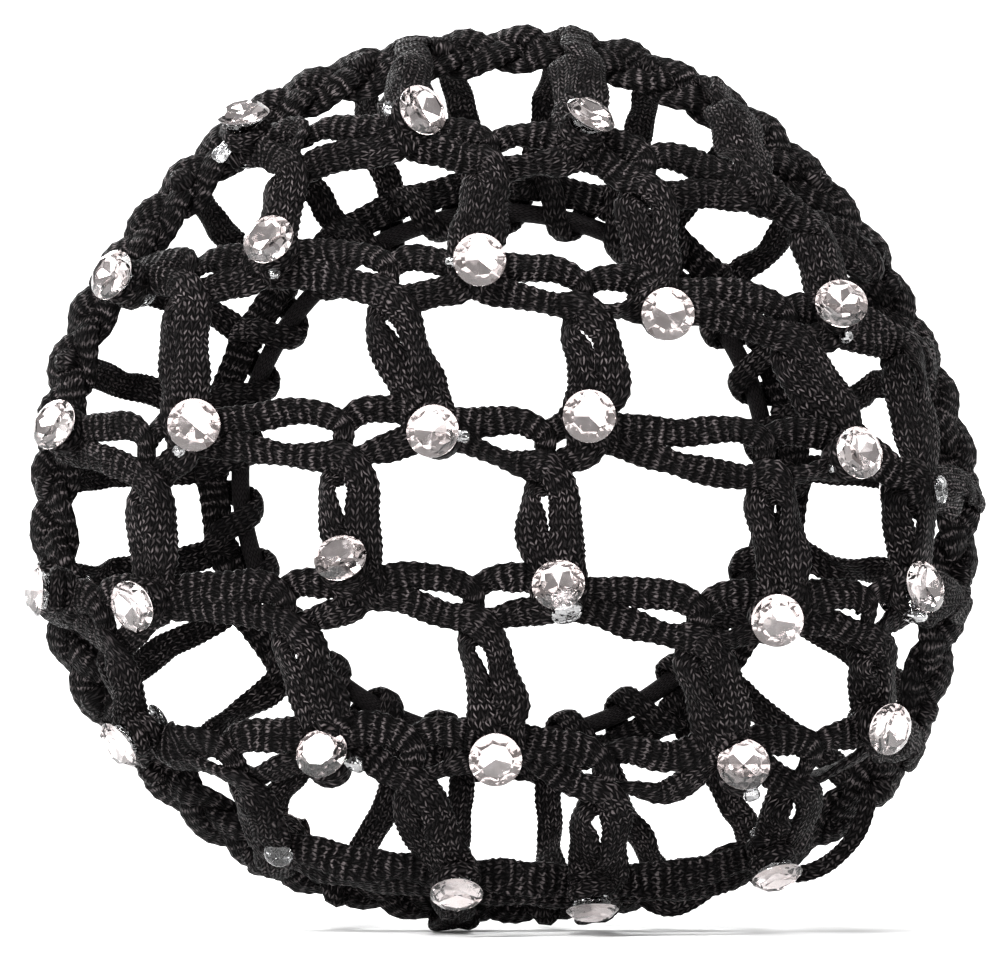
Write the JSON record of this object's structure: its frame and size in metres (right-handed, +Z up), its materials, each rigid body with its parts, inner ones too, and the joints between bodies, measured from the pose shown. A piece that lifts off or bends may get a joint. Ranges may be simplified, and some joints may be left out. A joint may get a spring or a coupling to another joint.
{
  "type": "hairnet",
  "caption": "Round crocheted bun net of knitted black tape with an elastic hem, set with round faceted clear stones on clear plastic studs.",
  "frame": {"origin": "middle of the opening, in the plane of the hem, where the net sits round the base of a bun", "axes": "+Z is up as in the picture, +X is the picture's right, and +Y runs out of the opening, so the face of the net looks along -Y"},
  "size_m": [0.0909, 0.0521, 0.0854],
  "materials": {
    "net_tape": "knitted, with a soft shine",
    "elastic": "covered in black yarn",
    "stud_plastic": "clear moulded plastic",
    "stone": "faceted and foiled, clear and bright"
  },
  "bodies": {
    "root": {"net": "net_tape", "elastic": "elastic", "studs": "stud_plastic", "stone_a1": "stone", "stone_a2": "stone", "stone_a3": "stone", "stone_b1": "stone", "stone_b2": "stone", "stone_b3": "stone", "stone_b4": "stone", "stone_b5": "stone", "stone_c1": "stone", "stone_c2": "stone", "stone_c3": "stone", "stone_c4": "stone", "stone_c5": "stone", "stone_c6": "stone", "stone_d1": "stone", "stone_d2": "stone", "stone_d3": "stone", "stone_d4": "stone", "stone_d5": "stone", "stone_d6": "stone", "stone_e1": "stone", "stone_e2": "stone", "stone_e3": "stone", "stone_e4": "stone", "stone_e5": "stone", "stone_f1": "stone", "stone_f2": "stone", "stone_f3": "stone", "stone_f4": "stone"}
  },
  "joints": []
}
